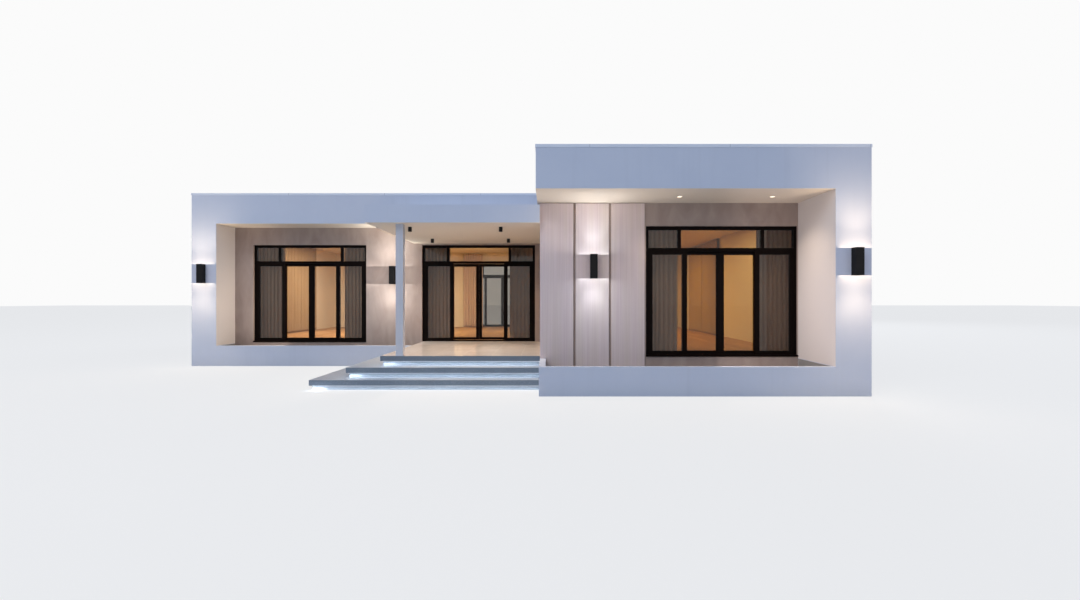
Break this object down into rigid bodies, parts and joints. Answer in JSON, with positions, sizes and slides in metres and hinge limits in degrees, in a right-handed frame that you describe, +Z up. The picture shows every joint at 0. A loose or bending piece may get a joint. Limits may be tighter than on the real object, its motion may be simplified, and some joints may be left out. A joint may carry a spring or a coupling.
{
  "type": "bungalow",
  "caption": "Single-storey flat-roofed house with a canopy over its porch, wide floating steps, planters and a sliding glass door.",
  "frame": {"origin": "middle of the outline from above, on the ground under the house", "axes": "+X to the right seen from the front and along the house's width, +Y from the front to the rear, +Z up"},
  "size_m": [15.09, 13.27, 4.5],
  "materials": {
    "white_render": "smooth painted render",
    "textured_render": "greige textured wall finish",
    "cladding": "greige panel with fine upright streaks",
    "stone": "honed beige porcelain",
    "step_stone": "grey-blue stone",
    "floor": "warm floor",
    "roof": "painted soffit below, grey membrane above",
    "coping": "satin white metal",
    "dark_frame": "dark bronze powder coat",
    "glass": "lightly tinted",
    "curtain": "grey voile in upright folds",
    "warm_curtain": "sand-coloured linen in upright folds",
    "lamp_housing": "matt black",
    "light_lens": "lit diffuser",
    "light_rim": "satin white"
  },
  "bodies": {
    "house": {"ground_floor": "floor", "door_threshold": "stone", "left_wing_wall": "white_render", "right_wing_wall": "white_render", "left_front_wall": "textured_render", "door_lintel": "textured_render", "door_side_pier": "textured_render", "porch_side_wall": "textured_render", "right_front_wall": "textured_render", "left_side_wall": "white_render", "right_side_wall": "white_render", "rear_wall": "white_render", "cladding_panels": "cladding", "left_planter": "white_render", "right_planter": "white_render", "porch_floor": "stone", "middle_step": "step_stone", "lower_step": "step_stone", "step_risers": "step_stone", "step_lights": "light_lens", "porch_column": "white_render", "canopy": "white_render", "left_roof": "roof", "right_roof": "roof", "roof_fascias": "white_render", "roof_parapets": "white_render", "copings": "coping", "left_window_frame": "dark_frame", "right_window_frame": "dark_frame", "rear_window_frames": "dark_frame", "side_window_frames": "dark_frame", "window_sills": "dark_frame", "window_glass": "glass", "door_frame": "dark_frame", "door_glass": "glass", "front_curtains": "curtain", "rear_curtains": "curtain", "side_curtains": "warm_curtain", "wall_lights": "lamp_housing", "porch_spotlights": "lamp_housing", "soffit_downlights": "light_rim"},
    "left_leaf": {"left_door_leaf": "dark_frame", "left_leaf_glass": "glass"},
    "right_leaf": {"right_door_leaf": "dark_frame", "right_leaf_glass": "glass"}
  },
  "joints": [
    {"name": "left_leaf_slide", "type": "slide", "parent": "house", "child": "left_leaf", "axis": [-1, 0, 0], "range_m": [0, 0.68]},
    {"name": "right_leaf_slide", "type": "slide", "parent": "house", "child": "right_leaf", "axis": [1, 0, 0], "range_m": [0, 0.68]}
  ]
}
